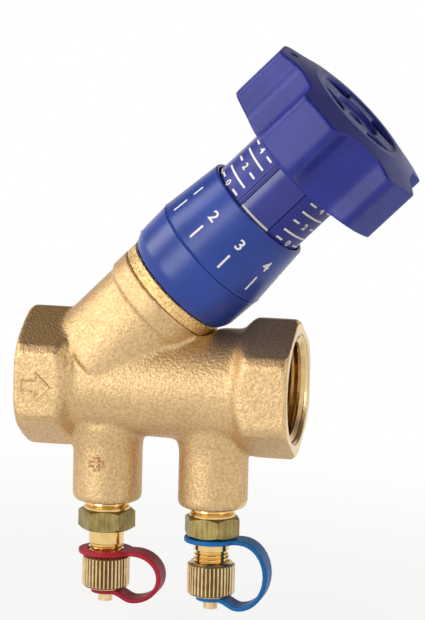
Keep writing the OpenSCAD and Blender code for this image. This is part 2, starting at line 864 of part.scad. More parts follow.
// Plug whose curved skirt meters the flow through the seat
module regulating_plug() {
    plug_r = plug_d / 2;
    taper_shares = [[0, 1], [0.25, 0.97], [0.5, 0.88], [0.75, 0.72], [1, 0.5]];
    color(brass_turned)
    on_bonnet()
    difference() {
        union() {
            revolve([for (s = taper_shares) [plug_r * s[1], disc_face_at - plug_len * s[0]],
                [0, disc_face_at - plug_len], [0, disc_face_at]]);
            rod(disc_face_at - over, disc_face_at + stud_len - seat_gap, stud_r);
        }
        translate([0, 0, disc_face_at - plug_len - over])
            cylinder(h = plug_len / 2 + over, d = plug_d / 4, $fn = 6);
    }
}

// Test points. Heights here are measured down from the boss's face.

hex_at = shoulder_len;
nose_at = hex_at + point_hex_len;
nose_end = nose_at + nose_len;
point_bore_r = 1.5;
gasket_len = 1;
shank_len = port_depth - gasket_len;
// Share of the width across the flats that the hexagon's chamfer takes
point_edge_share = 0.08;

// Puts its children below a boss, with their z pointing down
module below_boss(x) {
    translate([x, 0, -boss_drop])
        mirror([0, 0, 1])
            children();
}

module test_point(x, hex_angle) {
    edge = point_af * point_edge_share;
    hex_r = point_af / 2 / cos(half_turn / 6);
    hex_end = hex_at + point_hex_len;
    color(brass_plain)
    below_boss(x)
    rotate([0, 0, hex_angle])
    difference() {
        union() {
            rod(-shank_len, 0, port_r - fit);
            revolve(rounded(
                [[0, 0], [shoulder_d / 2, 0], [shoulder_d / 2, shoulder_len],
                 [0, shoulder_len]],
                [0, shoulder_len / 3, shoulder_len / 3, 0]));
            intersection() {
                translate([0, 0, hex_at - fit])
                    cylinder(h = point_hex_len + fit, r = hex_r, $fn = 6);
                revolve([
                    [0, hex_at - fit], [hex_r - edge, hex_at - fit], [hex_r, hex_at + edge / 2],
                    [hex_r, hex_end - edge / 2], [hex_r - edge, hex_end], [0, hex_end]]);
            }
            rod(nose_at - over, nose_end - nose_d / 20, nose_d / 2);
            cone(nose_end - nose_d / 20, nose_end, nose_d / 2, nose_d / 2 - nose_d / 20);
        }
        rod(-shank_len - over, nose_end + over, point_bore_r);
        rod(nose_end - membrane_len - over / 2, nose_end + over, membrane_d / 2);
    }
}

module port_gasket(x) {
    color(ptfe_white)
    below_boss(x)
        tube(-port_depth + fit, -shank_len, port_r - ease / 2, port_drill_d / 2);
}

// Self-sealing rubber plug that the measuring needle passes through
module membrane(x) {
    color(rubber_black)
    below_boss(x)
    difference() {
        rod(nose_end - membrane_len - over / 2 + fit, nose_end - over / 2, membrane_d / 2 - fit);
        cone(nose_end - 2 * over, nose_end, 0, point_bore_r);
    }
}

// Caps

cap_at = nose_at + cap_drop;
cap_end = cap_at + cap_len;
cap_gasket_len = 0.8;
cap_floor_at = nose_end + cap_gasket_len + fit;
groove_len = strap_t + 2 * ease;
groove_depth = 0.5;
groove_r = stub_d / 2 - groove_depth;
// Half of the angle that the flat top of a rib takes
rib_half_angle = 1.4;

// Ribbed outline of a cap
function ribbed(r) = [for (i = [0:2 * cap_ribs - 1])
    let (
        a = i * half_turn / cap_ribs,
        ri = i % 2 == 0 ? r : r - cap_rib_depth
    )
    each [for (s = [-1, 1]) ri * [cos(a + s * rib_half_angle), sin(a + s * rib_half_angle)]]];

module cap(x) {
    cap_r = cap_d / 2;
    edge = cap_r / 8;
    color(brass_turned)
    below_boss(x)
    difference() {
        union() {
            intersection() {
                translate([0, 0, cap_at])
                    linear_extrude(height = cap_len)
                        polygon(ribbed(cap_r));
                revolve([
                    [0, cap_at], [cap_r - edge, cap_at], [cap_r, cap_at + edge],
                    [cap_r, cap_end - edge], [cap_r - edge, cap_end], [0, cap_end]]);
            }
            rod(cap_end - over, cap_end + groove_len, groove_r);
            rod(cap_end + groove_len, cap_end + stub_len, stub_d / 2);
        }
        rod(cap_at - over, cap_floor_at, nose_d / 2 + run);
    }
}

module cap_gasket(x) {
    color(rubber_black)
    below_boss(x)
        rod(cap_floor_at - cap_gasket_len, cap_floor_at - fit / 2, nose_d / 2 - ease);
}

// Straps

strap_steps = 16;
// How far the bend hangs below a strap's eye
strap_sag = 2.4;
upstream_ring_at = cap_at - ease - strap_t;
downstream_ring_at = nose_at + ease;

// Middle line of a strap from its ring, round the bend, to its eye
function strap_line(ring_at) =
    let (
        top = ring_at + strap_t / 2,
        eye = cap_end + ease + strap_t / 2,
        low = eye + strap_sag,
        mid = (top + low) / 2,
        half_h = (low - top) / 2,
        half_w = strap_reach - strap_bend_start
    )
    [[strap_ring_d / 2 - strap_t, top],
     for (i = [0:strap_steps])
        let (a = i * half_turn / strap_steps)
        [strap_bend_start + half_w * sin(a), mid - half_h * cos(a)],
     for (i = [1:strap_steps / 2])
        let (t = 2 * i / strap_steps)
        [strap_bend_start - t * (strap_bend_start - strap_eye_d / 2 + strap_t),
         eye + (low - eye) * (1 + cos(half_turn * t)) / 2]];

// Outline of a line that has been given a thickness
function thickened(line, t) =
    let (
        n = len(line),
        dir = [for (i = [0:n - 1])
            let (d = line[min(i + 1, n - 1)] - line[max(i - 1, 0)]) d / norm(d)],
        side = [for (d = dir) [-d[1], d[0]] * t / 2]
    )
    concat([for (i = [0:n - 1]) line[i] + side[i]], [for (i = [n - 1:-1:0]) line[i] - side[i]]);

module strap(x, ring_at, tint) {
    eye_at = cap_end + ease;
    color(tint)
    below_boss(x)
    difference() {
        union() {
            rod(ring_at, ring_at + strap_t, strap_ring_d / 2);
            rod(eye_at, eye_at + strap_t, strap_eye_d / 2);
            translate([0, strap_w / 2, 0])
                rotate([90, 0, 0])
                    linear_extrude(height = strap_w)
                        polygon(thickened(strap_line(ring_at), strap_t));
        }
        rod(ring_at - over, ring_at + strap_t + over, nose_d / 2 + ease);
        rod(eye_at - over, eye_at + strap_t + over, groove_r + ease);
    }
}

module upstream_test_point() { test_point(upstream_x, upstream_hex_angle); }
module upstream_port_gasket() { port_gasket(upstream_x); }
module upstream_membrane() { membrane(upstream_x); }
module upstream_strap() { strap(upstream_x, upstream_ring_at, red_strap); }
module upstream_cap() { cap(upstream_x); }
module upstream_cap_gasket() { cap_gasket(upstream_x); }
module downstream_test_point() { test_point(downstream_x, downstream_hex_angle); }
module downstream_port_gasket() { port_gasket(downstream_x); }
module downstream_membrane() { membrane(downstream_x); }
module downstream_strap() { strap(downstream_x, downstream_ring_at, cyan_strap); }
module downstream_cap() { cap(downstream_x); }
module downstream_cap_gasket() { cap_gasket(downstream_x); }

valve_body();
bonnet();
bonnet_o_ring();
thrust_washer();
lower_collar();
tenths_ring();
stem();
stem_o_rings();
stem_clip();
wheel_snap_ring();
scale_sleeve();
handwheel();
memory_stop();
indicator_ring();
disc_carrier();
disc_seal();
regulating_plug();
upstream_test_point();
upstream_port_gasket();
upstream_membrane();
upstream_strap();
upstream_cap();
upstream_cap_gasket();
downstream_test_point();
downstream_port_gasket();
downstream_membrane();
downstream_strap();
downstream_cap();
downstream_cap_gasket();
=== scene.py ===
"""Dresses the solids of a Y-pattern balancing valve for a picture.

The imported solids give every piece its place. This file casts the body with its fillets,
cuts the threads, moulds the blue head, prints the scales and sets the stage.
Sizes are in millimetres where a name doesn't say otherwise.
"""

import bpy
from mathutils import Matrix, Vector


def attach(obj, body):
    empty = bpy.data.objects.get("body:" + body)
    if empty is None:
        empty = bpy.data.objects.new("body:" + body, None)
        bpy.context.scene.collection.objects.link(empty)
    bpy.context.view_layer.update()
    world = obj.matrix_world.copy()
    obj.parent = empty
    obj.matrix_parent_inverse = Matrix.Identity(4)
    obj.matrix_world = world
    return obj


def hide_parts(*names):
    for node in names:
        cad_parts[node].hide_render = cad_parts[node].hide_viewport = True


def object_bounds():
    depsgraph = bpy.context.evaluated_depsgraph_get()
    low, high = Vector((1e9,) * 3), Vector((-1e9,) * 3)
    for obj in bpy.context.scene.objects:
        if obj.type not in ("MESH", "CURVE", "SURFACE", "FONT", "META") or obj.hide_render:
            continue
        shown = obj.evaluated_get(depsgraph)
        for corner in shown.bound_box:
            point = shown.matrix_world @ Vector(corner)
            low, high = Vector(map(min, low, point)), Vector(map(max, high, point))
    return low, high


bl_info = {
    "name": "Balancing valve",
    "version": (1, 0, 0),
    "blender": (4, 5, 0),
    "location": "3D Viewport > Sidebar > Valve",
    "description": "Casts, moulds and prints a balancing valve round its solids",
    "category": "Object",
}

import math

import bpy
import numpy as np
from mathutils import Matrix, Vector

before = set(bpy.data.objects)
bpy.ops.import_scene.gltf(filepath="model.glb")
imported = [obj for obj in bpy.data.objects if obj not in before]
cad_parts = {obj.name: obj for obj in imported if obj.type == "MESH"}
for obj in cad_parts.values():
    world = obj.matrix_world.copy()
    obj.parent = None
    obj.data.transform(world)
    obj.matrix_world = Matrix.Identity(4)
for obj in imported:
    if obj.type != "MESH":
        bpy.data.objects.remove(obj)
CAD_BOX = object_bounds()

MM = 0.001
# Sizes and places of the casting, from the middle of the inlet face
BODY_LENGTH = 88
HEX_FRONT = -20.05
CORNER_CHAMFER = 1.3
THREAD_DEPTH = 12
BONNET_OFFSET = 16.7
UPSTREAM_X = 26.3
DOWNSTREAM_X = 61.1
BOSS_FACE = -39.4
# Sizes and places of the head, along the bonnet's axis
NECK_TOP = 40.6
RING_RADIUS = 18.75
TENTHS_FOOT = 60.5
TENTHS_TOP = 80.8
TENTHS_FOOT_RADIUS = 20.85
TENTHS_TOP_RADIUS = 18.85
SLEEVE_RADIUS = 17.3
INDICATOR_RADIUS = 17.0
WINDOWS = (7.7, 97.7, 187.7, 277.7)
# Sizes of a test point, down from its boss
NUT_FLATS = 16
NUT_TOP = 2.8
NUT_HEIGHT = 6.8
NOSE_RADIUS = 5.68
# The photograph's frame, in pixels
FRAME_HEIGHT = 620
FOCAL_LENGTH = 3090.4
SHIFT = (28.93, -20.64)
# Each lamp: its name, the way towards it, its width in metres and the setting of its power
LAMP_DISTANCE = 1.1
LAMPS = (
    ("front_lamp", (-0.5, -0.85, 0.2), 0.55, "front"),
    ("left_lamp", (-0.85, -0.1, 0.5), 0.5, "left"),
    ("right_lamp", (0.85, -0.4, 0.3), 0.4, "right"),
)
BONNET = Matrix.Translation((BONNET_OFFSET * MM, 0, 0)) @ Matrix.Rotation(math.radians(45), 4, "Y")


# Mesh helpers


def clear_selection():
    if bpy.context.object and bpy.context.object.mode != "OBJECT":
        bpy.ops.object.mode_set(mode="OBJECT")
    bpy.ops.object.select_all(action="DESELECT")


def activate(obj):
    clear_selection()
    obj.select_set(True)
    bpy.context.view_layer.objects.active = obj
    return obj


def edit(obj, kind="VERT"):
    """Opens a piece in edit mode with nothing selected."""
    activate(obj)
    bpy.ops.object.mode_set(mode="EDIT")
    bpy.ops.mesh.select_mode(type=kind)
    bpy.ops.mesh.select_all(action="DESELECT")


def select(obj, kind, wanted):
    """Selects the vertices, edges or faces for which wanted is true."""
    bpy.ops.object.mode_set(mode="OBJECT")
    items = {"VERT": obj.data.vertices, "EDGE": obj.data.edges, "FACE": obj.data.polygons}[kind]
    for item in items:
        item.select = bool(wanted(item))
    bpy.ops.object.mode_set(mode="EDIT")


def finish_mesh(obj, flip=False):
    """Merges doubles, turns faces outwards and leaves edit mode."""
    bpy.ops.mesh.select_all(action="SELECT")
    bpy.ops.mesh.remove_doubles(threshold=0.002 * MM)
    bpy.ops.mesh.normals_make_consistent(inside=flip)
    bpy.ops.object.mode_set(mode="OBJECT")
    return obj


def modify(obj, kind, **settings):
    """Adds a modifier and applies it."""
    activate(obj)
    added = obj.modifiers.new(kind.title(), kind)
    for key, value in settings.items():
        setattr(added, key, value)
    bpy.ops.object.modifier_apply(modifier=added.name)
    return obj


def smooth(obj, degrees=30):
    activate(obj)
    bpy.ops.object.shade_smooth_by_angle(angle=math.radians(degrees))
    return obj


def place(obj, matrix):
    """Moves a finished piece and puts its place into its mesh."""
    activate(obj)
    obj.matrix_world = matrix @ obj.matrix_world
    bpy.ops.object.transform_apply(location=True, rotation=True, scale=True)
    return obj


def dress(piece, finish, body):
    """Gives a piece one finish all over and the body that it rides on."""
    piece.data.materials.clear()
    piece.data.materials.append(FINISHES[finish])
    piece.data.polygons.foreach_set("material_index", [0] * len(piece.data.polygons))
    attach(piece, body)


def join(name, pieces):
    clear_selection()
    for piece in pieces:
        piece.select_set(True)
    bpy.context.view_layer.objects.active = pieces[0]
    if len(pieces) > 1:
        bpy.ops.object.join()
    pieces[0].name = name
    return pieces[0]


def copy_of(node, name):
    """A merged copy of a CAD node, free to be worked."""
    activate(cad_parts[node])
    bpy.ops.object.duplicate()
    piece = bpy.context.object
    piece.parent = None
    for key in [key for key in piece.keys() if key.startswith("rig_")]:
        del piece[key]
    piece.name = name
    piece.data.materials.clear()
    edit(piece)
    bpy.ops.mesh.select_all(action="SELECT")
    bpy.ops.mesh.remove_doubles(threshold=0.001 * MM)
    bpy.ops.object.mode_set(mode="OBJECT")
    return piece


def turned(name, outline, sides=96):
    """A solid turned about Z from its outline of (radius, height), from the lowest disc to the last."""
    clear_selection()
    radius, height = outline[0]
    bpy.ops.mesh.primitive_circle_add(vertices=sides, radius=radius * MM, fill_type="NGON",
                                      location=(0, 0, height * MM))
    piece = bpy.context.object
    piece.name = name
    bpy.ops.object.transform_apply(location=True, rotation=True, scale=True)
    bpy.ops.object.mode_set(mode="EDIT")
    bpy.ops.mesh.select_mode(type="FACE")
    bpy.ops.mesh.select_all(action="SELECT")
    for (before, low), (after, high) in zip(outline, outline[1:]):
        bpy.ops.mesh.extrude_region_move(TRANSFORM_OT_translate={"value": (0, 0, (high - low) * MM)})
        bpy.ops.transform.resize(value=(after / before, after / before, 1))
    return finish_mesh(piece)


def cut(obj, tool, operation="DIFFERENCE", solver="MANIFOLD"):
    """Cuts a piece with a tool and throws the tool away."""
    modify(obj, "BOOLEAN", object=tool, operation=operation, solver=solver)
    bpy.data.objects.remove(tool)
    return obj


def box_piece(name, low, high):
    """A plain block between two corners, used as a start or as a tool."""
    clear_selection()
    middle = [(a + b) / 2 * MM for a, b in zip(low, high)]
    bpy.ops.mesh.primitive_cube_add(size=1, location=middle)
    piece = bpy.context.object
    piece.name = name
    piece.scale = [(b - a) * MM for a, b in zip(low, high)]
    bpy.ops.object.transform_apply(location=True, rotation=True, scale=True)
    return piece


def helix(name, root, crest, pitch, turns, width):
    """A thread's ridge about Z: a three-sided rib wound from the root radius to the crest radius."""
    clear_selection()
    bpy.ops.mesh.primitive_circle_add(vertices=3, radius=width / 2 * MM, fill_type="NOTHING")
    piece = bpy.context.object
    piece.name = name
    corners = [(root, -width / 2), (crest, 0), (root, width / 2)]
    for vertex, (radius, height) in zip(piece.data.vertices, corners):
        vertex.co = (radius * MM, 0, height * MM)
    modify(piece, "SCREW", axis="Z", angle=2 * math.pi, steps=64, render_steps=64, iterations=turns,
           screw_offset=pitch * MM, use_merge_vertices=False)
    edit(piece, "EDGE")
    bpy.ops.mesh.select_non_manifold()
    bpy.ops.mesh.edge_face_add()
    return finish_mesh(piece)


# Shader helpers


class Value:
    """A varying number in a node tree. Its operators add Math nodes."""

    def __init__(self, nodes, socket):
        self.nodes = nodes
        self.socket = socket

    def maths(self, operation, first, second=0.0, clamp=False):
        return self.nodes.node("ShaderNodeMath", {"operation": operation, "use_clamp": clamp},
                               {0: first, 1: second})

    def __add__(self, other):
        return self.maths("ADD", self, other)

    def __radd__(self, other):
        return self.maths("ADD", other, self)

    def __sub__(self, other):
        return self.maths("SUBTRACT", self, other)

    def __rsub__(self, other):
        return self.maths("SUBTRACT", other, self)

    def __mul__(self, other):
        return self.maths("MULTIPLY", self, other)

    def __rmul__(self, other):
        return self.maths("MULTIPLY", other, self)

    def power(self, other):
        return self.maths("POWER", self, other)

    def size(self):
        return self.maths("ABSOLUTE", self)

    def clamped(self):
        return self.maths("ADD", self, 0.0, clamp=True)

    def between(self, low, high):
        """0 below low, 1 above high and smooth between them."""
        return self.nodes.node("ShaderNodeMapRange", {"interpolation_type": "SMOOTHSTEP"},
                               {"Value": self, "From Min": low, "From Max": high})


class Nodes:
    """A node tree and the way that its nodes are made."""

    def __init__(self, tree):
        self.tree = tree

    def node(self, kind, settings=None, inputs=None, output=0):
        """Adds a node: its settings first, then the values or links of its sockets."""
        made = self.tree.nodes.new(kind)
        for key, value in (settings or {}).items():
            setattr(made, key, value)
        for key, value in (inputs or {}).items():
            if isinstance(value, Value):
                self.tree.links.new(value.socket, made.inputs[key])
            elif value is not None:
                made.inputs[key].default_value = value
        return Value(self, made.outputs[output]) if made.outputs else None


class Finish(Nodes):
    """A material, the nodes that make it and its Principled shader."""

    def __init__(self, name, colour, **uniform):
        self.material = bpy.data.materials.new(name)
        self.material.use_nodes = True
        super().__init__(self.material.node_tree)
        self.tree.nodes.clear()
        self.shader = self.tree.nodes.new("ShaderNodeBsdfPrincipled")
        self.output = self.tree.nodes.new("ShaderNodeOutputMaterial")
        self.tree.links.new(self.shader.outputs[0], self.output.inputs["Surface"])
        self.material.diffuse_color = (*colour, 1)
        self.shader.inputs["Base Color"].default_value = (*colour, 1)
        for key, value in uniform.items():
            self.shader.inputs[key.replace("_", " ").title().replace("Ior", "IOR")].default_value = value
        self.place = self.node("ShaderNodeTexCoord", output="Object")

    def seen(self):
        """1 for the rays of the camera, of mirrors and of glass, which show the background white."""
        path = lambda name: self.node("ShaderNodeLightPath", output=name)
        return (path("Is Camera Ray") + path("Is Glossy Ray") + path("Is Transmission Ray")).clamped()

    def cover(self, upper, share):
        """Lays another shader over the surface by a share."""
        either = self.node("ShaderNodeMixShader", {}, {0: share, 2: upper})
        self.tree.links.new(self.shader.outputs[0], either.socket.node.inputs[1])
        self.tree.links.new(either.socket, self.output.inputs["Surface"])

    def feed(self, socket, value):
        self.tree.links.new(value.socket, self.shader.inputs[socket])

    def noise(self, grain, detail=3.0, roughness=0.5, stretch=(1, 1, 1)):
        """Noise whose features are about grain millimetres wide, stretched along an axis by a small share."""
        where = self.node("ShaderNodeMapping", {}, {"Vector": self.place, "Scale": stretch})
        return self.node("ShaderNodeTexNoise", {}, {"Vector": where, "Scale": 1 / (grain * MM),
                                                    "Detail": detail, "Roughness": roughness})

    def along(self):
        """The three coordinates of a point, in metres."""
        return [self.node("ShaderNodeSeparateXYZ", {}, {0: self.place}, output=axis) for axis in range(3)]

    def mix(self, factor, first, second):
        """A colour between two colours, each a triple or a value."""
        colour = lambda c: c if isinstance(c, Value) else (*c, 1)
        return self.node("ShaderNodeMix", {"data_type": "RGBA"},
                         {0: factor, 6: colour(first), 7: colour(second)}, output=2)

    def bump(self, height, depth, strength=1.0, below=None):
        """Raises the surface by height, whose 0 to 1 is depth millimetres."""
        return self.node("ShaderNodeBump", {}, {"Strength": strength, "Distance": depth * MM,
                                                "Height": height, "Normal": below})


def cast_brass():
    """Sand-cast brass: a fine grain that sparkles, with bright turned faces at the pipe ends."""
    settings = bpy.context.scene.valve_finishes
    light, dark = settings.cast_light, settings.cast_dark
    finish = Finish("cast_brass", light, metallic=1.0)
    grain = finish.noise(0.85, detail=2.0, roughness=0.6)
    fine = finish.noise(0.4, detail=1.0)
    broad = finish.noise(16, detail=2.0)
    x, y, z = finish.along()
    from_axis = (y * y + z * z).power(0.5)
    half = BODY_LENGTH / 2
    from_middle = (x - half * MM).size()
    # The turned surfaces are the end faces, the hexagons' corners and the threads' walls
    corner = half + bpy.context.scene.valve_casting.end_round - CORNER_CHAMFER - 0.3
    thread_end = half - THREAD_DEPTH - 1
    thread_wall = 17.2
    end_face = from_middle.between((half - 0.2) * MM, (half - 0.1) * MM)
    end_corner = (from_middle + from_axis).between(corner * MM, (corner + 0.1) * MM)
    thread = (from_middle.between(thread_end * MM, (thread_end + 0.2) * MM)
              * (1 - from_axis.between(thread_wall * MM, (thread_wall + 0.4) * MM)))
    machined = (end_face + end_corner + thread).clamped()
    tone = (grain.between(0.3, 0.66) * 0.62 + broad * 0.5 - 0.06).clamped()
    cast = finish.mix(tone, dark, light)
    finish.feed("Base Color", finish.mix(machined, cast, settings.turned_brass))
    rough = 0.6 - fine * 0.16 - grain.between(0.5, 0.8) * 0.1
    finish.feed("Roughness", (rough - machined * (rough - 0.26)).clamped())
    coarse = finish.bump(grain * (1 - machined), 0.3, 0.8)
    rings = finish.noise(0.25, detail=1.0, stretch=(1, 0.03, 0.03))
    finish.feed("Normal", finish.bump(fine - machined * (fine - rings * 0.3), 0.06, 0.4, below=coarse))
    return finish.material


def blasted_gold():
    """The bonnet ring: bright brass with a coarse, broken surface."""
    finish = Finish("blasted_gold", (0.86, 0.56, 0.2), metallic=1.0)
    pits = finish.noise(0.9, detail=4.0, roughness=0.7)
    patches = finish.noise(4.5, detail=2.0)
    bright = (pits.between(0.3, 0.52) * 0.85 + patches.between(0.35, 0.7) * 0.35).clamped()
    finish.feed("Base Color", finish.mix(bright, (0.4, 0.23, 0.07), (0.92, 0.64, 0.28)))
    finish.feed("Roughness", 0.5 - bright * 0.24)
    finish.feed("Normal", finish.bump(pits, 0.5, 1.0))
    return finish.material


def polished_brass(name="polished_brass", colour=(0.88, 0.62, 0.26)):
    """Turned brass: fine rings round the axis and slight stains."""
    finish = Finish(name, colour, metallic=1.0)
    stain = finish.noise(5, detail=3.0)
    rings = finish.noise(0.3, detail=1.0, stretch=(0.05, 0.05, 1))
    darker = tuple(c * 0.78 for c in colour)
    finish.feed("Base Color", finish.mix(stain.between(0.4, 0.7), colour, darker))
    finish.feed("Roughness", 0.09 + stain * 0.1)
    finish.feed("Normal", finish.bump(rings, 0.02, 0.25))
    return finish.material


def knurled_brass(name, axis_x):
    """A screw cap: brass with painted shade that darkens its grooves, and ribs dulled by handling."""
    finish = Finish(name, (0.8, 0.6, 0.3), metallic=1.0)
    x, y, z = finish.along()
    from_axis = ((x - axis_x * MM) * (x - axis_x * MM) + y * y).power(0.5)
    foot, top, root, crest = -68.1, -57.5, 7.22, 7.55
    ribbed = z.between(foot * MM, (foot + 0.3) * MM) * (1 - z.between((top - 0.4) * MM, top * MM))
    groove_shade = (1 - from_axis.between(root * MM, crest * MM)) * ribbed
    stain = finish.noise(2.5, detail=3.0)
    pits = finish.noise(0.35, detail=2.0)
    bare = finish.mix(stain.between(0.35, 0.7), (0.86, 0.66, 0.36), (0.7, 0.5, 0.25))
    # Painted shade: the grooves between the ribs are darkened to a near black brown
    finish.feed("Base Color", finish.mix(groove_shade * 0.9, bare, (0.1, 0.055, 0.02)))
    finish.feed("Roughness", (0.2 + stain * 0.12 + groove_shade * 0.3).clamped())
    finish.feed("Normal", finish.bump(pits, 0.05, 0.5))
    return finish.material


def drawn_brass():
    """The hexagons of the test points: drawn bar, dull, with lines along the bar."""
    finish = Finish("drawn_brass", (0.34, 0.26, 0.09), metallic=1.0)
    lines = finish.noise(0.35, detail=2.0, stretch=(1, 1, 0.04))
    stain = finish.noise(4, detail=3.0)
    tone = (lines * 0.6 + stain * 0.5).between(0.35, 0.75)
    finish.feed("Base Color", finish.mix(tone, (0.2, 0.15, 0.05), (0.44, 0.34, 0.13)))
    finish.feed("Roughness", 0.3 + lines * 0.2)
    finish.feed("Normal", finish.bump(lines, 0.04, 0.5))
    return finish.material


def moulded(name, colour, roughness, grain, depth, shine=0.3):
    """Moulded plastic: a fine grain, slight changes of tone and faint scuffs."""
    finish = Finish(name, colour, ior=1.48, specular_ior_level=shine)
    broad = finish.noise(18, detail=2.0)
    texture = finish.noise(grain, detail=2.0)
    scuffs = finish.noise(3, detail=5.0, roughness=0.7)
    lighter = tuple(min(1.0, c * 1.16 + 0.006) for c in colour)
    darker = tuple(c * 0.86 for c in colour)
    finish.feed("Base Color", finish.mix((broad * 0.8 + texture * 0.2).between(0.3, 0.7), darker, lighter))
    finish.feed("Roughness", (roughness + scuffs.between(0.55, 0.75) * 0.1 + texture * 0.05).clamped())
    finish.feed("Normal", finish.bump(texture, depth, 0.5))
    return finish.material


def white_paint():
    """Printing ink: white, slightly uneven."""
    finish = Finish("white_paint", (0.86, 0.86, 0.84))
    uneven = finish.noise(0.5, detail=3.0)
    finish.feed("Base Color", finish.mix(uneven, (0.9, 0.9, 0.89), (0.97, 0.97, 0.96)))
    finish.feed("Roughness", 0.45 + uneven * 0.15)
    finish.feed("Normal", finish.bump(uneven, 0.02, 0.3))
    return finish.material


def plain(name, colour, roughness, metallic=0.0, grain=0.6):
    """Small inner pieces: rubber, sealing plastic and steel."""
    finish = Finish(name, colour, metallic=metallic)
    texture = finish.noise(grain, detail=3.0)
    lighter = tuple(min(1.0, c * 1.25 + 0.01) for c in colour)
    finish.feed("Base Color", finish.mix(texture, colour, lighter))
    finish.feed("Roughness", (roughness + texture * 0.15).clamped())
    finish.feed("Normal", finish.bump(texture, 0.03, 0.4))
    return finish.material


# Settings


class VALVE_PG_casting(bpy.types.PropertyGroup):
    """Sizes of the cast body"""

    voxel: bpy.props.FloatProperty(
        name="Facet size", description="Size of the casting's facets, in millimetres",
        default=0.6, min=0.4, max=1.5)
    fillet: bpy.props.FloatProperty(
        name="Fillet reach", description="How far from a corner a fillet reaches, in millimetres",
        default=2.4, min=1, max=5)
    fillet_steps: bpy.props.IntProperty(
        name="Fillet steps", description="Smoothing steps that round the corners", default=30, min=5, max=90)
    end_round: bpy.props.FloatProperty(
        name="Turned corners", description="Radius to which the hexagons' corners are turned, in millimetres",
        default=22.6, min=20, max=24)
    thread_pitch: bpy.props.FloatProperty(
        name="Pipe thread pitch", description="11 threads to the inch, in millimetres",
        default=2.309, min=1, max=3)
    arrow_proud: bpy.props.FloatProperty(
        name="Arrow height", description="How far the flow arrow stands out, in millimetres",
        default=0.6, min=0.1, max=1)


class VALVE_PG_print(bpy.types.PropertyGroup):
    """Sizes of the printed scales"""

    zero_azimuth: bpy.props.FloatProperty(
        name="Zero", description="Azimuth of the zero on the tenths ring, in degrees", default=-92)
    tenths_height: bpy.props.FloatProperty(
        name="Tenths digits", description="Height of the digits on the tenths ring, in millimetres",
        default=3.7)
    turns_height: bpy.props.FloatProperty(
        name="Turns digits", description="Height of the digits beside the windows, in millimetres",
        default=2.4)
    line: bpy.props.FloatProperty(
        name="Line width", description="Width of the printed lines, in millimetres", default=0.7)


class VALVE_PG_finishes(bpy.types.PropertyGroup):
    """Colours of the finishes"""

    cast_light: bpy.props.FloatVectorProperty(
        name="Cast brass", description="Colour of the casting's high spots", subtype="COLOR",
        default=(0.8, 0.57, 0.31), min=0, max=1)
    cast_dark: bpy.props.FloatVectorProperty(
        name="Cast brass, hollows", description="Colour of the casting's hollows", subtype="COLOR",
        default=(0.52, 0.34, 0.16), min=0, max=1)
    turned_brass: bpy.props.FloatVectorProperty(
        name="Turned brass", description="Colour of the casting's machined faces", subtype="COLOR",
        default=(0.8, 0.58, 0.3), min=0, max=1)
    wheel_blue: bpy.props.FloatVectorProperty(
        name="Handwheel blue", description="Colour of the handwheel and the sleeve", subtype="COLOR",
        default=(0.013, 0.023, 0.27), min=0, max=1)
    collar_blue: bpy.props.FloatVectorProperty(
        name="Collar blue", description="Colour of the collar and the tenths ring", subtype="COLOR",
        default=(0.013, 0.05, 0.33), min=0, max=1)
    strap_red: bpy.props.FloatVectorProperty(
        name="Strap red", description="Colour of the upstream strap", subtype="COLOR",
        default=(0.4, 0.012, 0.032), min=0, max=1)
    strap_cyan: bpy.props.FloatVectorProperty(
        name="Strap cyan", description="Colour of the downstream strap", subtype="COLOR",
        default=(0.004, 0.15, 0.47), min=0, max=1)


class VALVE_PG_stage(bpy.types.PropertyGroup):
    """The camera and the lamps"""

    yaw: bpy.props.FloatProperty(
        name="Camera yaw", description="Turn to the right of the front, in degrees", default=12.895)
    elevation: bpy.props.FloatProperty(
        name="Camera elevation", description="Height above level, in degrees", default=8.316)
    roll: bpy.props.FloatProperty(
        name="Camera roll", description="Turn about the view line, in degrees", default=1.282)
    distance: bpy.props.FloatProperty(
        name="Camera distance", description="From the target, in metres", default=0.9802, unit="LENGTH")
    floor_gap: bpy.props.FloatProperty(
        name="Floor gap", description="From the valve down to the floor, in metres",
        default=0.008, unit="LENGTH")
    front: bpy.props.FloatProperty(
        name="Front lamp", description="Power of the front left lamp, in watts", default=4.5)
    left: bpy.props.FloatProperty(
        name="Left lamp", description="Power of the upper left lamp, in watts", default=4.0)
    right: bpy.props.FloatProperty(
        name="Right lamp", description="Power of the right lamp, in watts", default=1.5)
    sky: bpy.props.FloatProperty(
        name="Sky", description="Strength of the light round the horizon", default=0.7)


# Pieces


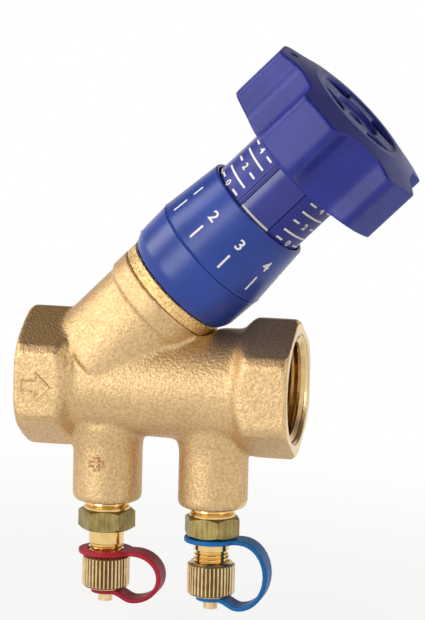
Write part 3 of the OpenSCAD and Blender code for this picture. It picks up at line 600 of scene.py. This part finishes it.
def fillet_weights(piece, reach):
    """Weights that are high where two of the casting's forms meet at a hollow corner."""
    count = len(piece.data.vertices)
    points = np.empty(count * 3)
    piece.data.vertices.foreach_get("co", points)
    x, y, z = points.reshape(-1, 3).T / MM
    from_axis = np.hypot(y, z)
    along = (x - BONNET_OFFSET + z) / math.sqrt(2)
    across = (x - BONNET_OFFSET - z) / math.sqrt(2)
    # The barrel widens from the inlet's hexagon to the outlet's
    barrel_at, barrel_length, inlet_barrel, outlet_barrel = 15.5, 57, 17.3, 18.4
    neck_radius, boss_radius, hexagon_radius = 17.8, 12, 22
    inlet_step, outlet_step = 17, 71
    neck_from, bore_radius = 3, 15
    # How far each point is from the barrel, the neck and the inner ends of the hexagons
    barrel = from_axis - (inlet_barrel + (x - barrel_at) * (outlet_barrel - inlet_barrel) / barrel_length)
    neck = np.hypot(y, across) - neck_radius
    inlet = np.abs(x - inlet_step) + np.maximum(from_axis - hexagon_radius, 0)
    outlet = np.abs(x - outlet_step) + np.maximum(from_axis - hexagon_radius, 0)
    near = lambda first, second: np.exp(-(first ** 2 + second ** 2) / (2 * reach ** 2))
    # The neck meets the inlet side in a crease, and the outlet side in a wide fillet
    crease = np.clip((across - 1) / 9, 0.04, 1)
    weight = np.where(along > neck_from, near(neck, barrel) * crease, 0)
    for boss_x in (UPSTREAM_X, DOWNSTREAM_X):
        boss = np.hypot(x - boss_x, y) - boss_radius
        weight = np.maximum(weight, np.where(z < 0, near(boss, barrel), 0))
    for end in (inlet, outlet):
        weight = np.maximum(weight, near(end, barrel * 0.6) * np.where(along > 8, crease, 1))
        weight = np.maximum(weight, np.where(along > neck_from, near(end, neck) * 0.4, 0))
    weight = np.where(from_axis < bore_radius, 0, weight)
    return np.clip(weight * 1.3, 0, 1)


def weigh(piece, name, weights, steps=20):
    """Stores weights in a vertex group, in a few levels."""
    group = piece.vertex_groups.new(name=name)
    levels = np.round(weights * steps).astype(int)
    for level in range(1, steps + 1):
        members = np.flatnonzero(levels == level)
        if len(members):
            group.add(members.tolist(), level / steps, "REPLACE")
    return group.name


def end_frame(x, turn):
    """The place of a pipe end's face, with Z along the pipe's axis into the body."""
    return Matrix.Translation((x * MM, 0, 0)) @ Matrix.Rotation(math.radians(turn), 4, "Y")


class VALVE_OT_casting(bpy.types.Operator):
    """Casts the body with its fillets and machines its faces"""

    bl_idname = "valve.casting"
    bl_label = "Cast body"

    def execute(self, context):
        sizes = context.scene.valve_casting
        body = copy_of("valve_body", "body_casting")
        modify(body, "REMESH", mode="VOXEL", voxel_size=sizes.voxel * MM)
        corners = weigh(body, "corners", fillet_weights(body, sizes.fillet))
        modify(body, "SMOOTH", factor=0.8, iterations=sizes.fillet_steps, vertex_group=corners)
        modify(body, "SMOOTH", factor=0.5, iterations=2)
        body.vertex_groups.clear()
        # Machined ends: a flat face, a chamfered mouth, the thread's wall and the hexagon's turned corners
        mouth, wall, past_hexagon, past_body, skim = 17.7, 16.68, 30, 110, 0.05
        round_radius = sizes.end_round
        corner = round_radius - CORNER_CHAMFER
        for x, turn in ((0, 90), (BODY_LENGTH, -90)):
            end = end_frame(x, turn)
            tool = turned("end_tool", [(past_hexagon, -3), (past_hexagon, skim), (mouth, 0.06), (wall, 1.1),
                                       (wall, THREAD_DEPTH), (12, THREAD_DEPTH + 0.2)], sides=128)
            cut(body, place(tool, end))
            form = turned("end_form", [(corner, -1), (corner, skim), (round_radius, skim + CORNER_CHAMFER),
                                       (round_radius, 9), (past_body, 11), (past_body, 130)], sides=128)
            cut(body, place(form, end), "INTERSECT")
        # Machined top of the neck, under the bonnet ring
        neck = RING_RADIUS + 0.3
        tool = turned("neck_tool", [(neck, NECK_TOP - skim), (neck, NECK_TOP + 6.4)], sides=96)
        cut(body, place(tool, BONNET))
        # Machined faces of the bosses
        half = 14
        for x in (UPSTREAM_X, DOWNSTREAM_X):
            low, high = (x - half, -half, BOSS_FACE - 3), (x + half, half, BOSS_FACE + 0.04)
            cut(body, box_piece("boss_tool", low, high))
        smooth(body, 38)
        dress(body, "cast_brass", "fixed_body")
        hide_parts("valve_body")
        return {"FINISHED"}


class VALVE_OT_pipe_threads(bpy.types.Operator):
    """Winds the ridges of the two pipe threads"""

    bl_idname = "valve.pipe_threads"
    bl_label = "Pipe threads"

    def execute(self, context):
        pitch = context.scene.valve_casting.thread_pitch
        root, crest, start, turns = 16.75, 15.3, 1.6, 4
        for name, x, turn in (("inlet_thread_ridge", 0, 90), ("outlet_thread_ridge", BODY_LENGTH, -90)):
            ridge = helix(name, root, crest, pitch, turns, pitch * 0.96)
            place(ridge, end_frame(x, turn) @ Matrix.Translation((0, 0, start * MM)))
            smooth(ridge, 25)
            dress(ridge, "machined_brass", "fixed_body")
        return {"FINISHED"}


class VALVE_OT_cast_marks(bpy.types.Operator):
    """Raises the flow arrow and the plus sign"""

    bl_idname = "valve.cast_marks"
    bl_label = "Arrow and plus"

    def execute(self, context):
        proud = context.scene.valve_casting.arrow_proud
        # Arrow on the inlet's front flat: a block for the shaft and one that narrows to the tip
        front, back, tip = HEX_FRONT - proud, HEX_FRONT + 0.5, 11.8
        shaft = box_piece("flow_arrow", (2.4, front, -2.4), (7.6, back, 1.6))
        head = box_piece("arrow_head", (7.1, front, -5.2), (tip, back, 4.2))
        edit(head, "VERT")
        select(head, "VERT", lambda v: v.co.x > (tip - 1) * MM)
        bpy.ops.transform.resize(value=(1, 1, 0.06))
        bpy.ops.object.mode_set(mode="OBJECT")
        cut(shaft, head, "UNION", "EXACT")
        # Plus sign on the upstream boss, from two blocks
        x, z, front, back, arm, half = 25.3, -26, -11.8, -10.6, 2.3, 0.9
        across = box_piece("plus_mark", (x - arm, front, z - half), (x + arm, back, z + half))
        upright = box_piece("plus_post", (x - half, front, z - arm), (x + half, back, z + arm))
        cut(across, upright, "UNION", "EXACT")
        for mark, rim in ((shaft, 0.85), (across, 0.55)):
            # Only the outline of a mark stands out
            edit(mark, "FACE")
            select(mark, "FACE", lambda face: face.normal.y < -0.9)
            bpy.ops.mesh.inset(thickness=rim * MM, depth=-proud * MM)
            bpy.ops.object.mode_set(mode="OBJECT")
            modify(mark, "BEVEL", width=0.14 * MM, segments=2, limit_method="ANGLE")
            smooth(mark, 35)
            dress(mark, "cast_brass", "fixed_body")
        return {"FINISHED"}


def soften(piece, facet, steps):
    """Rounds all the edges of a moulded piece a little, on facets of a size in millimetres."""
    modify(piece, "REMESH", mode="VOXEL", voxel_size=facet * MM)
    modify(piece, "SMOOTH", factor=0.5, iterations=steps)
    return smooth(piece, 40)


class VALVE_OT_handwheel(bpy.types.Operator):
    """Moulds the lobed handwheel with soft edges"""

    bl_idname = "valve.handwheel"
    bl_label = "Handwheel"

    def execute(self, context):
        facet, steps = 0.45, 3
        wheel = copy_of("handwheel", "handwheel_moulding")
        soften(wheel, facet, steps)
        dress(wheel, "wheel_blue", "wheel_and_stem")
        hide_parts("handwheel")
        return {"FINISHED"}


class VALVE_OT_test_points(bpy.types.Operator):
    """Turns the test points: shoulder, hexagon and threaded nose"""

    bl_idname = "valve.test_points"
    bl_label = "Test points"

    def execute(self, context):
        nut_foot = NUT_TOP + NUT_HEIGHT
        bore, thread_root, thread_at = 7.0, 5.05, 14.9
        # A stud in the boss, two turned beads and the stretch inside the hexagon
        shoulder = [(6.5, -8), (6.5, 0.02), (6.8, 0.02), (7.35, 0.5), (7.45, 1.0), (7.1, 1.35), (6.75, 1.5),
                    (7.1, 1.7), (7.45, 2.1), (7.45, 2.9), (bore, 3.2), (bore, nut_foot - 0.2)]
        # A plain stretch, the root of the thread, the nose's end and the well of the needle valve
        nose = [(NOSE_RADIUS, 9.55), (NOSE_RADIUS, 13.9), (thread_root, 14.3), (thread_root, 26.1),
                (4.6, 26.4), (3.2, 26.4), (3.2, 18.4)]
        # Each side's hexagon is turned by its own number of degrees
        for side, x, turn in (("upstream", UPSTREAM_X, 8.6), ("downstream", DOWNSTREAM_X, -6.7)):
            turned_by = Matrix.Rotation(math.radians(turn), 4, "Z") @ Matrix.Rotation(math.pi, 4, "X")
            down = Matrix.Translation((x * MM, 0, BOSS_FACE * MM)) @ turned_by
            shank = turned(side + "_shoulder_and_nose", shoulder + nose)
            ridge = helix(side + "_nose_thread", thread_root - 0.07, NOSE_RADIUS + 0.04, 1.2, 10, 1.05)
            place(ridge, Matrix.Translation((0, 0, thread_at * MM)))
            shank = join(side + "_shoulder_and_nose", [shank, ridge])
            place(shank, down)
            smooth(shank, 28)
            dress(shank, "polished_brass", "fixed_body")
            clear_selection()
            bpy.ops.mesh.primitive_cylinder_add(
                vertices=6, radius=NUT_FLATS / math.sqrt(3) * MM, depth=NUT_HEIGHT * MM,
                location=(0, 0, (NUT_TOP + NUT_HEIGHT / 2) * MM), rotation=(0, 0, math.pi / 6))
            nut = bpy.context.object
            nut.name = side + "_hexagon"
            bpy.ops.object.transform_apply(location=True, rotation=True, scale=True)
            form = turned("nut_form", [(7.6, NUT_TOP), (9.3, NUT_TOP + 0.95), (9.3, nut_foot - 0.95),
                                       (7.6, nut_foot)], sides=96)
            cut(nut, form, "INTERSECT", "EXACT")
            cut(nut, turned("nut_bore", [(bore - 0.1, 0), (bore - 0.1, nut_foot + 2.4)], sides=64),
                "DIFFERENCE", "EXACT")
            modify(nut, "BEVEL", width=0.12 * MM, segments=2, limit_method="ANGLE",
                   angle_limit=math.radians(25))
            place(nut, down)
            smooth(nut, 25)
            dress(nut, "drawn_brass", "fixed_body")
            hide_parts(side + "_test_point")
        return {"FINISHED"}


class VALVE_OT_straps(bpy.types.Operator):
    """Moulds the two soft straps"""

    bl_idname = "valve.straps"
    bl_label = "Straps"

    def execute(self, context):
        facet, steps = 0.24, 6
        for side, slot in (("upstream", "red"), ("downstream", "cyan")):
            strap = copy_of(side + "_strap", side + "_strap_moulding")
            soften(strap, facet, steps)
            dress(strap, "strap_" + slot, side + "_loop")
            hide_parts(side + "_strap")
        return {"FINISHED"}


# Printed scales


def glyph(text, height):
    """A numeral as a flat mesh in the XY plane, centred on the origin, in metres."""
    boldness, widening = 0.09, 1.05
    clear_selection()
    bpy.ops.object.text_add()
    obj = bpy.context.object
    obj.data.body = text
    obj.data.size = height * 1.4 * MM
    obj.data.align_x = "CENTER"
    obj.data.align_y = "CENTER"
    obj.data.offset = boldness * MM
    obj.data.resolution_u = 6
    bpy.ops.object.convert(target="MESH")
    bpy.ops.object.origin_set(type="GEOMETRY_ORIGIN", center="BOUNDS")
    obj.location = (0, 0, 0)
    scale = height * MM / obj.dimensions.y
    obj.scale = (scale * widening, scale, 1)
    bpy.ops.object.transform_apply(location=True, rotation=True, scale=True)
    return obj


def bar(width, height):
    """A printed line as a flat mesh, centred on the origin."""
    clear_selection()
    bpy.ops.mesh.primitive_plane_add(size=1)
    obj = bpy.context.object
    obj.scale = (width * MM, height * MM, 1)
    bpy.ops.object.transform_apply(location=True, rotation=True, scale=True)
    return obj


def print_on(obj, azimuth, along, radius, thick=0.12):
    """Slices a flat mark, gives it a thickness and wraps it round the bonnet axis, a little sunk."""
    slice_width, sunk = 0.35, 0.07
    edit(obj, "FACE")
    half = obj.dimensions.x / 2
    cuts = max(1, int(half / (slice_width * MM)))
    for step in range(-cuts, cuts + 1):
        bpy.ops.mesh.select_all(action="SELECT")
        bpy.ops.mesh.bisect(plane_co=(step * half / (cuts + 0.5), 0, 0), plane_no=(1, 0, 0))
    bpy.ops.mesh.select_all(action="SELECT")
    bpy.ops.mesh.extrude_region_move(TRANSFORM_OT_translate={"value": (0, 0, thick * MM)})
    finish_mesh(obj)
    for vertex in obj.data.vertices:
        across, up, out = vertex.co / MM
        high = along + up
        wall = radius(high)
        angle = math.radians(azimuth - 90) + across / wall
        reach = wall - sunk + out
        vertex.co = (reach * math.cos(angle) * MM, reach * math.sin(angle) * MM, high * MM)
    edit(obj, "FACE")
    finish_mesh(obj)
    return obj


def cone_radius(along):
    """Radius of the tenths ring at a place along the bonnet's axis."""
    slope = (TENTHS_TOP_RADIUS - TENTHS_FOOT_RADIUS) / (TENTHS_TOP - TENTHS_FOOT)
    return TENTHS_FOOT_RADIUS + (along - TENTHS_FOOT) * slope


def sleeve_radius(along):
    return SLEEVE_RADIUS


def indicator_radius(along):
    return INDICATOR_RADIUS


class VALVE_OT_print(bpy.types.Operator):
    """Prints the tenths, the turns and the index lines"""

    bl_idname = "valve.print"
    bl_label = "Printed scales"

    def execute(self, context):
        sizes = context.scene.valve_print
        tenths = []
        digits_at, lines_at, line_length = 72.7, 65.5, 5.4
        for digit in range(10):
            azimuth = sizes.zero_azimuth + 36 * digit
            tenths.append(print_on(glyph(str(digit), sizes.tenths_height), azimuth, digits_at, cone_radius))
            tenths.append(print_on(bar(sizes.line, line_length), azimuth, lines_at, cone_radius))
        # Columns on both sides of two windows: a digit between two dashes for whole turns, a line between
        turns = []
        column_at, dash_at, dash, odd_line = 50, 15.0, 2.7, 11.7
        for window in WINDOWS[::2]:
            for side in (-1, 1):
                middle = window + side * column_at
                for digit, along in (("0", 82.0), ("2", 89.5), ("4", 96.9)):
                    turns.append(print_on(glyph(digit, sizes.turns_height), middle, along, sleeve_radius))
                    for offset in (-dash_at, dash_at):
                        turns.append(print_on(bar(dash, sizes.line), middle + offset, along, sleeve_radius))
                for along in (85.35, 93.25):
                    turns.append(print_on(bar(odd_line, sizes.line), middle, along, sleeve_radius))
        index_at = 81.3
        lines = [print_on(bar(11.4, 0.8), window, index_at, indicator_radius) for window in WINDOWS]
        # Two fine ribs of the sleeve run beside two of its windows
        ribs_at, rib_length, rib_height = 89.4, 17.0, 0.4
        ribs = [print_on(bar(0.4, rib_length), window - angle, ribs_at, sleeve_radius, rib_height)
                for window in WINDOWS[::2] for angle in (22.4, 25.6)]
        ribs = place(join("sleeve_ribs", ribs), BONNET)
        dress(smooth(ribs, 30), "wheel_blue", "wheel_and_stem")
        for name, marks, body, slot in (("tenths_print", tenths, "fixed_body", "collar_blue_plastic"),
                                        ("turns_print", turns, "wheel_and_stem", "deep_blue_plastic"),
                                        ("index_line_print", lines, "rising_indicator", "deep_blue_plastic")):
            piece = join(name, marks)
            place(piece, BONNET)
            smooth(piece, 30)
            dress(piece, "white_paint", body)
        return {"FINISHED"}


class VALVE_OT_finishes(bpy.types.Operator):
    """Makes the finishes and gives each solid its own"""

    bl_idname = "valve.finishes"
    bl_label = "Finishes of the solids"

    def execute(self, context):
        make_finishes()
        named = {
            "bonnet": "blasted_gold", "lower_collar": "collar_blue", "tenths_ring": "collar_blue",
            "stem": "polished_brass", "scale_sleeve": "wheel_blue", "handwheel": "wheel_blue",
            "indicator_ring": "pad_blue",
            "disc_carrier": "polished_brass", "regulating_plug": "polished_brass",
            "memory_stop": "bright_steel", "stem_clip": "bright_steel", "wheel_snap_ring": "bright_steel",
            "thrust_washer": "white_ptfe", "valve_body": "cast_brass",
            "upstream_test_point": "drawn_brass", "downstream_test_point": "drawn_brass",
            "upstream_cap": "upstream_knurl", "downstream_cap": "downstream_knurl",
            "upstream_port_gasket": "white_ptfe", "downstream_port_gasket": "white_ptfe",
            "upstream_strap": "strap_red", "downstream_strap": "strap_cyan",
        }
        for name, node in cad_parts.items():
            node.data.materials.clear()
            node.data.materials.append(FINISHES[named.get(name, "black_rubber")])
        return {"FINISHED"}


# Stage


def white_floor():
    """Paper that keeps a faint shadow near the valve and fades into the white background."""
    finish = Finish("white_paper", (0.9, 0.9, 0.9), roughness=0.9)
    tone = finish.noise(40, detail=2.0)
    finish.feed("Base Color", finish.mix(tone, (0.88, 0.88, 0.88), (0.92, 0.92, 0.92)))
    # The share of plain white grows with the distance from the valve, in metres
    near, far, near_share = 0.08, 0.35, 0.84
    apart = finish.node("ShaderNodeVectorMath", {"operation": "LENGTH"}, {0: finish.place}, output="Value")
    share = near_share + apart.between(near, far) * (1 - near_share)
    glow = finish.node("ShaderNodeEmission", {}, {"Color": (1, 1, 1, 1)})
    finish.cover(glow, finish.seen() * share)
    return finish.material


def studio(sizes):
    """White paper round the horizon, two soft boxes beside it and a dim, warm ceiling."""
    world = bpy.data.worlds.new("studio")
    world.use_nodes = True
    sky = Nodes(world.node_tree)
    sky.tree.nodes.clear()
    way = sky.node("ShaderNodeTexCoord", output="Generated")
    height = sky.node("ShaderNodeSeparateXYZ", {}, {0: way}, output="Z")
    ceiling = height.between(0.1, 0.5)
    towards = lambda *axis: sky.node("ShaderNodeVectorMath", {"operation": "DOT_PRODUCT"},
                                     {0: way, 1: Vector(axis).normalized()}, output="Value")
    left_box = towards(-0.86, -0.46, 0.25).between(0.62, 0.8)
    right_box = towards(1, -0.1, 0.2).between(0.8, 0.92)
    boxes = left_box + right_box * 0.6
    level = sizes.sky * (0.6 - ceiling * 0.42 + boxes * 0.9)
    white_light, warm_light = (1, 1, 1, 1), (1, 0.82, 0.64, 1)
    tint = sky.node("ShaderNodeMix", {"data_type": "RGBA"},
                    {0: ceiling, 6: white_light, 7: warm_light}, output=2)
    light = sky.node("ShaderNodeBackground", {}, {"Color": tint, "Strength": level})
    white = sky.node("ShaderNodeBackground", {}, {"Color": white_light, "Strength": 1.0})
    ray = sky.node("ShaderNodeLightPath", output="Is Camera Ray")
    mirrored = sky.node("ShaderNodeLightPath", output="Is Glossy Ray") + sky.node(
        "ShaderNodeLightPath", output="Is Transmission Ray")
    seen = (ray + mirrored * (1 - ceiling)).clamped()
    either = sky.node("ShaderNodeMixShader", {}, {0: seen, 1: light, 2: white})
    sky.node("ShaderNodeOutputWorld", {}, {"Surface": either})
    return world


class VALVE_OT_stage(bpy.types.Operator):
    """Sets the floor, the lamps and the camera"""

    bl_idname = "valve.stage"
    bl_label = "Stage"

    def execute(self, context):
        sizes = context.scene.valve_stage
        scene = context.scene
        clear_selection()
        floor_width, middle = 6, 0.04
        bpy.ops.mesh.primitive_plane_add(size=floor_width, location=(0, 0, 0))
        floor = bpy.context.object
        floor.name = "floor"
        # An unscrewed cap comes down by 5.25 mm, and the floor stays below it
        place(floor, Matrix.Translation((middle, 0, CAD_BOX[0][2] - sizes.floor_gap)))
        floor.data.materials.append(white_floor())

        yaw, lift, roll = (math.radians(v) for v in (sizes.yaw, sizes.elevation, sizes.roll))
        # The camera looks back along this way, which rises from level by the elevation
        back = Vector((math.sin(yaw) * math.cos(lift), -math.cos(yaw) * math.cos(lift), math.sin(lift)))
        right = Vector((math.cos(yaw), math.sin(yaw), 0))
        up = back.cross(right)
        right, up = (right * math.cos(roll) + up * math.sin(roll),
                     up * math.cos(roll) - right * math.sin(roll))
        bpy.ops.object.camera_add()
        camera = bpy.context.object
        target = Vector((0.05, 0, 0.03))
        pose = Matrix((right, up, back)).transposed().to_4x4()
        pose.translation = target + back * sizes.distance
        camera.matrix_world = pose
        camera.data.sensor_fit = "VERTICAL"
        camera.data.sensor_height = 36
        camera.data.lens = FOCAL_LENGTH / FRAME_HEIGHT * camera.data.sensor_height
        camera.data.shift_x = SHIFT[0] / FRAME_HEIGHT
        camera.data.shift_y = SHIFT[1] / FRAME_HEIGHT
        camera.data.clip_start = 0.01
        scene.camera = camera

        for name, towards, size, power in LAMPS:
            where = target + Vector(towards).normalized() * LAMP_DISTANCE
            bpy.ops.object.light_add(type="AREA", location=where)
            lamp = bpy.context.object
            lamp.name = name
            lamp.data.size = size
            lamp.data.energy = getattr(sizes, power)
            lamp.rotation_euler = (target - where).to_track_quat("-Z", "Y").to_euler()
        scene.world = studio(sizes)
        scene.view_settings.view_transform = "Standard"
        return {"FINISHED"}


class VALVE_PT_panel(bpy.types.Panel):
    """Lists the steps that build the valve"""

    bl_label = "Balancing valve"
    bl_idname = "VALVE_PT_panel"
    bl_space_type = "VIEW_3D"
    bl_region_type = "UI"
    bl_category = "Valve"

    def draw(self, context):
        for operator in STEPS:
            self.layout.operator(operator.bl_idname)
        for group in GROUPS:
            settings = getattr(context.scene, group)
            column = self.layout.column()
            for key in GROUPS[group].__annotations__:
                column.prop(settings, key)


GROUPS = {
    "valve_casting": VALVE_PG_casting,
    "valve_print": VALVE_PG_print,
    "valve_finishes": VALVE_PG_finishes,
    "valve_stage": VALVE_PG_stage,
}
STEPS = (VALVE_OT_finishes, VALVE_OT_casting, VALVE_OT_pipe_threads, VALVE_OT_cast_marks, VALVE_OT_handwheel,
         VALVE_OT_test_points, VALVE_OT_straps, VALVE_OT_print, VALVE_OT_stage)
FINISHES = {}


def make_finishes():
    """Makes each material once."""
    colours = bpy.context.scene.valve_finishes
    FINISHES.update({
        "cast_brass": cast_brass(),
        "blasted_gold": blasted_gold(),
        "polished_brass": polished_brass(),
        "machined_brass": polished_brass("machined_brass", (0.72, 0.5, 0.24)),
        "drawn_brass": drawn_brass(),
        "upstream_knurl": knurled_brass("upstream_knurl", UPSTREAM_X),
        "downstream_knurl": knurled_brass("downstream_knurl", DOWNSTREAM_X),
        "wheel_blue": moulded("wheel_blue", colours.wheel_blue, 0.4, 0.5, 0.12, shine=0.45),
        "pad_blue": moulded("pad_blue", colours.wheel_blue, 0.2, 1.0, 0.01, shine=0.6),
        "collar_blue": moulded("collar_blue", colours.collar_blue, 0.27, 1.2, 0.012, shine=0.45),
        "strap_red": moulded("strap_red", colours.strap_red, 0.45, 0.8, 0.02, shine=0.25),
        "strap_cyan": moulded("strap_cyan", colours.strap_cyan, 0.42, 0.8, 0.02, shine=0.25),
        "white_paint": white_paint(),
        "black_rubber": plain("black_rubber", (0.02, 0.02, 0.02), 0.6),
        "white_ptfe": plain("white_ptfe", (0.8, 0.8, 0.78), 0.5),
        "bright_steel": plain("bright_steel", (0.6, 0.6, 0.62), 0.25, metallic=1.0),
    })


def register():
    for group, kind in GROUPS.items():
        bpy.utils.register_class(kind)
        setattr(bpy.types.Scene, group, bpy.props.PointerProperty(type=kind))
    for kind in (*STEPS, VALVE_PT_panel):
        bpy.utils.register_class(kind)


def unregister():
    for kind in (VALVE_PT_panel, *reversed(STEPS)):
        bpy.utils.unregister_class(kind)
    for group, kind in GROUPS.items():
        delattr(bpy.types.Scene, group)
        bpy.utils.unregister_class(kind)


def main():
    register()
    for step in STEPS:
        package, name = step.bl_idname.split(".")
        if getattr(getattr(bpy.ops, package), name)() != {"FINISHED"}:
            raise RuntimeError(step.bl_label + " didn't finish")


if __name__ == "__main__":
    main()
